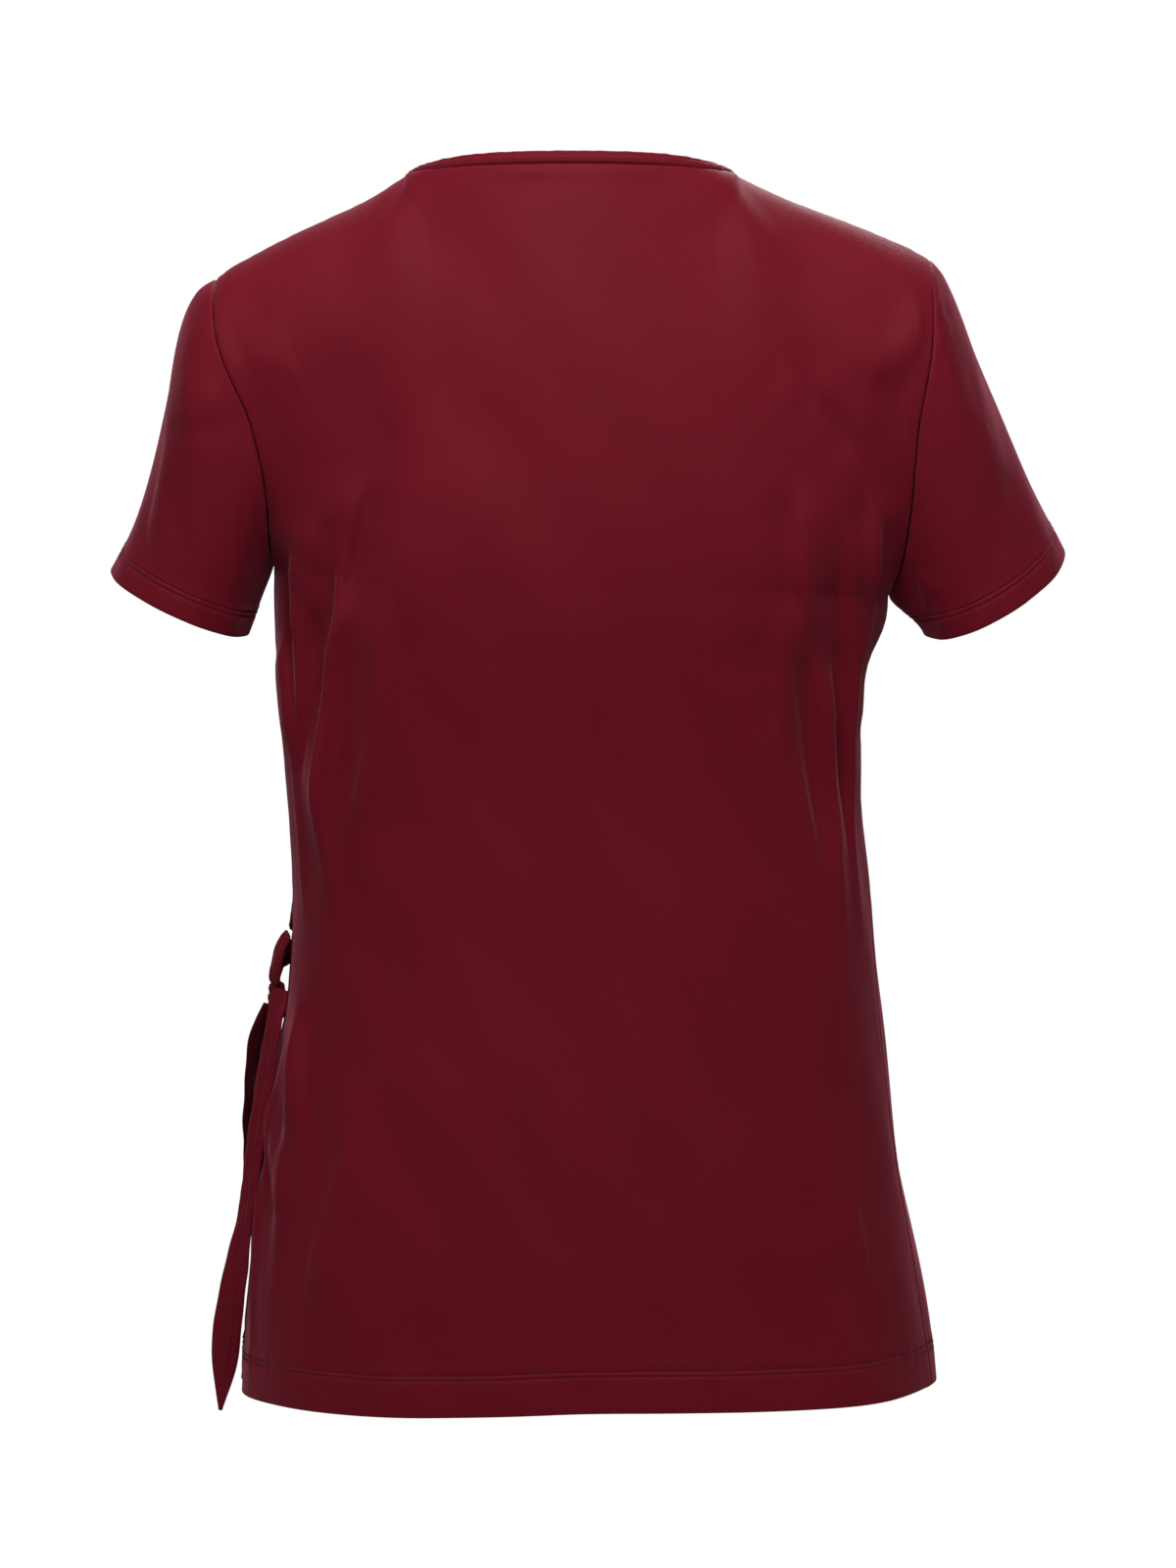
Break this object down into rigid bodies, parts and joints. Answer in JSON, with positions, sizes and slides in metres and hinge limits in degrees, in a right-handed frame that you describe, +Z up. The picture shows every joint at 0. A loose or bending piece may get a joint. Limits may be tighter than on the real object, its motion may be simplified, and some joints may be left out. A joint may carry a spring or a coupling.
{
  "type": "wrap top",
  "caption": "Short-sleeved wrap top in jersey, in its hollow worn form, with crossed fronts, a bound neck and a tie at the wearer's left hip.",
  "frame": {"origin": "midway between the two neck side points, where the wearer's shoulders carry the top", "axes": "+Z up, -Y the front of the garment, +X the wearer's left, the side where it is tied"},
  "size_m": [0.5196, 0.2534, 0.6813],
  "materials": {
    "jersey": "fine single jersey knit, wine red, soft sheen",
    "binding": "folded jersey strip with twin-needle stitching",
    "tie": "flat tube of the same jersey"
  },
  "bodies": {
    "root": {"back": "jersey", "front_over": "jersey", "front_under": "jersey", "sleeve_left": "jersey", "sleeve_right": "jersey", "neck_binding": "binding", "tie_loop": "tie", "tie_strap": "tie", "tie_knot": "tie", "tie_tail_near": "tie", "tie_tail_far": "tie"}
  },
  "joints": []
}
